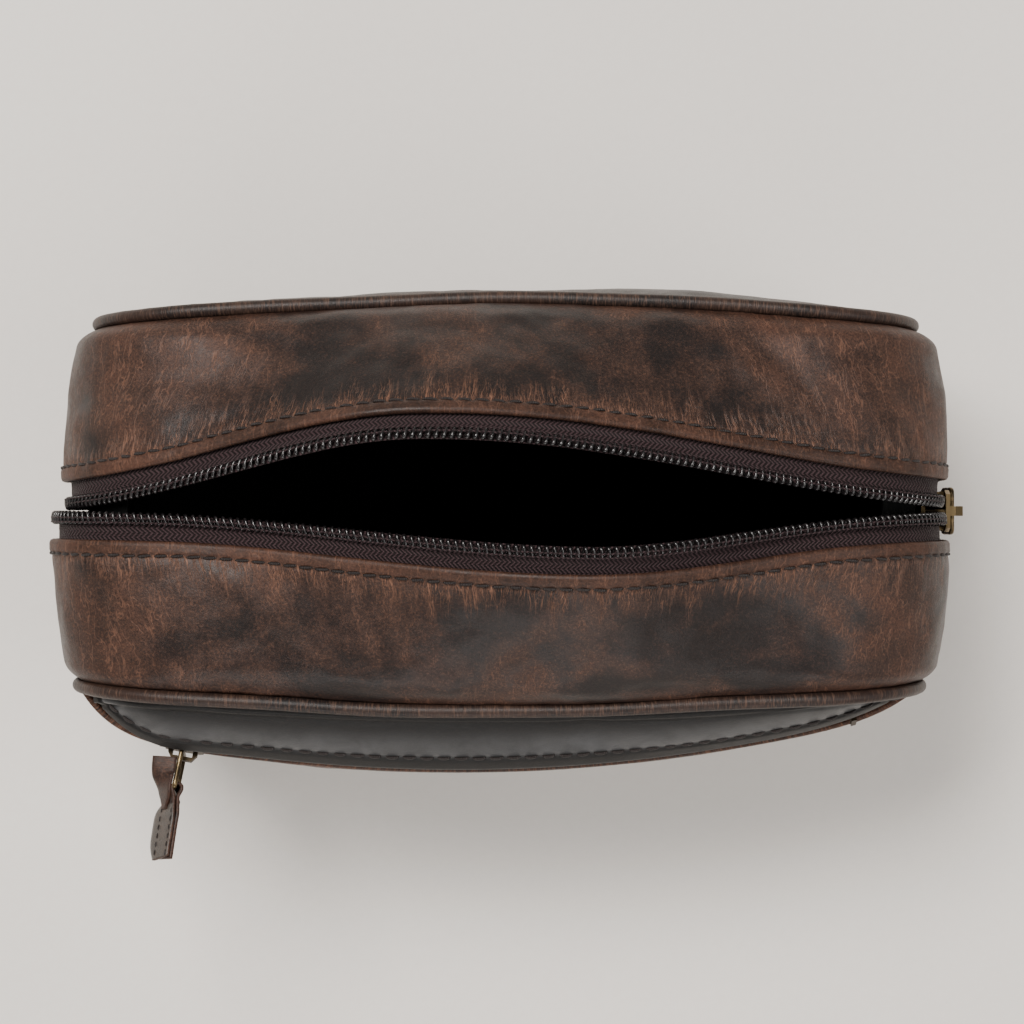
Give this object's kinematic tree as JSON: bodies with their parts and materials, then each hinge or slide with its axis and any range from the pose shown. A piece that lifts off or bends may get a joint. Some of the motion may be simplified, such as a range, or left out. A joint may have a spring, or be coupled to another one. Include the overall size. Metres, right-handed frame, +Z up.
{
  "type": "shaving kit bag",
  "caption": "Box-shaped leather wash bag with a long zip mouth over the top and both ends, piped panels, and a zipped front pocket.",
  "frame": {"origin": "middle of the flat base, on the surface that the bag stands on", "axes": "+X along the zip mouth to the end where its slider is parked, +Y to the plain back panel, +Z up"},
  "size_m": [0.2776, 0.1799, 0.1905],
  "materials": {
    "leather": "dark brown waxed leather with paler rubbed folds, satin",
    "piping": "dark brown leather over a cord, satin",
    "tape": "dark woven zip tape",
    "coil": "near-black nylon coil, semi-gloss",
    "brass": "antiqued brass, dull with bright edges",
    "lining": "black plain-woven lining",
    "cord": "undyed twisted cord"
  },
  "bodies": {
    "bag": {"base_gusset": "leather", "back_panel": "leather", "front_upper_panel": "leather", "pocket_panel": "leather", "back_piping": "piping", "front_piping": "piping", "back_piping_cord": "cord", "front_piping_cord": "cord", "back_strip_left": "leather", "back_strip_right": "leather", "front_strip_left": "leather", "front_strip_right": "leather", "back_tape_left": "tape", "back_tape_right": "tape", "front_tape_left": "tape", "front_tape_right": "tape", "back_coil_left": "coil", "back_coil_right": "coil", "front_coil_left": "coil", "front_coil_right": "coil", "mouth_bottom_stop": "brass", "mouth_top_stops": "brass", "pocket_tape_upper": "tape", "pocket_tape_lower": "tape", "pocket_coil_upper": "coil", "pocket_coil_lower": "coil", "pocket_stops": "brass", "base_lining": "lining", "back_lining": "lining", "front_lining": "lining", "pocket_lining": "lining"},
    "back_lip": {"back_lip_strip": "leather", "back_lip_tape": "tape", "back_lip_coil": "coil"},
    "front_lip": {"front_lip_strip": "leather", "front_lip_tape": "tape", "front_lip_coil": "coil"},
    "mouth_slider": {"mouth_slider_body": "brass", "mouth_slider_bail": "brass"},
    "mouth_pull": {"mouth_pull_ring": "brass"},
    "mouth_tab": {"mouth_pull_tab": "leather"},
    "pocket_slider": {"pocket_slider_body": "brass", "pocket_slider_bail": "brass"},
    "pocket_pull": {"pocket_pull_ring": "brass"},
    "pocket_tab": {"pocket_pull_tab": "leather"}
  },
  "joints": [
    {"name": "back_lip_fold", "type": "hinge", "parent": "bag", "child": "back_lip", "pos_m": [0, 0.06, 0.143], "axis": [1, 0, 0], "range_deg": [-25, 37.8]},
    {"name": "front_lip_fold", "type": "hinge", "parent": "bag", "child": "front_lip", "pos_m": [0, -0.063, 0.143], "axis": [-1, 0, 0], "range_deg": [-25, 24.8]},
    {"name": "mouth_slider_travel", "type": "slide", "parent": "bag", "child": "mouth_slider", "axis": [0, 0, -1], "range_m": [0, 0.028]},
    {"name": "mouth_pull_swing", "type": "hinge", "parent": "mouth_slider", "child": "mouth_pull", "pos_m": [0.13837, -0.0033, 0.11], "axis": [0, -1, 0], "range_deg": [0, 150]},
    {"name": "mouth_tab_swing", "type": "hinge", "parent": "mouth_pull", "child": "mouth_tab", "pos_m": [0.13837, -0.0033, 0.09563], "axis": [0, -1, 0], "range_deg": [0, 45]},
    {"name": "pocket_slider_travel", "type": "hinge", "parent": "bag", "child": "pocket_slider", "pos_m": [-0.015, 0.4157, 0.119], "axis": [0, 0, 1], "range_deg": [0, 21.4]},
    {"name": "pocket_pull_swing", "type": "hinge", "parent": "pocket_slider", "child": "pocket_pull", "pos_m": [-0.10016, -0.07796, 0.11929], "axis": [0.0497, 0.2881, 0.9563], "range_deg": [-15, 60]},
    {"name": "pocket_tab_swing", "type": "hinge", "parent": "pocket_pull", "child": "pocket_tab", "pos_m": [-0.10203, -0.0888, 0.12266], "axis": [0.0497, 0.2881, 0.9563], "range_deg": [-5, 30]}
  ]
}
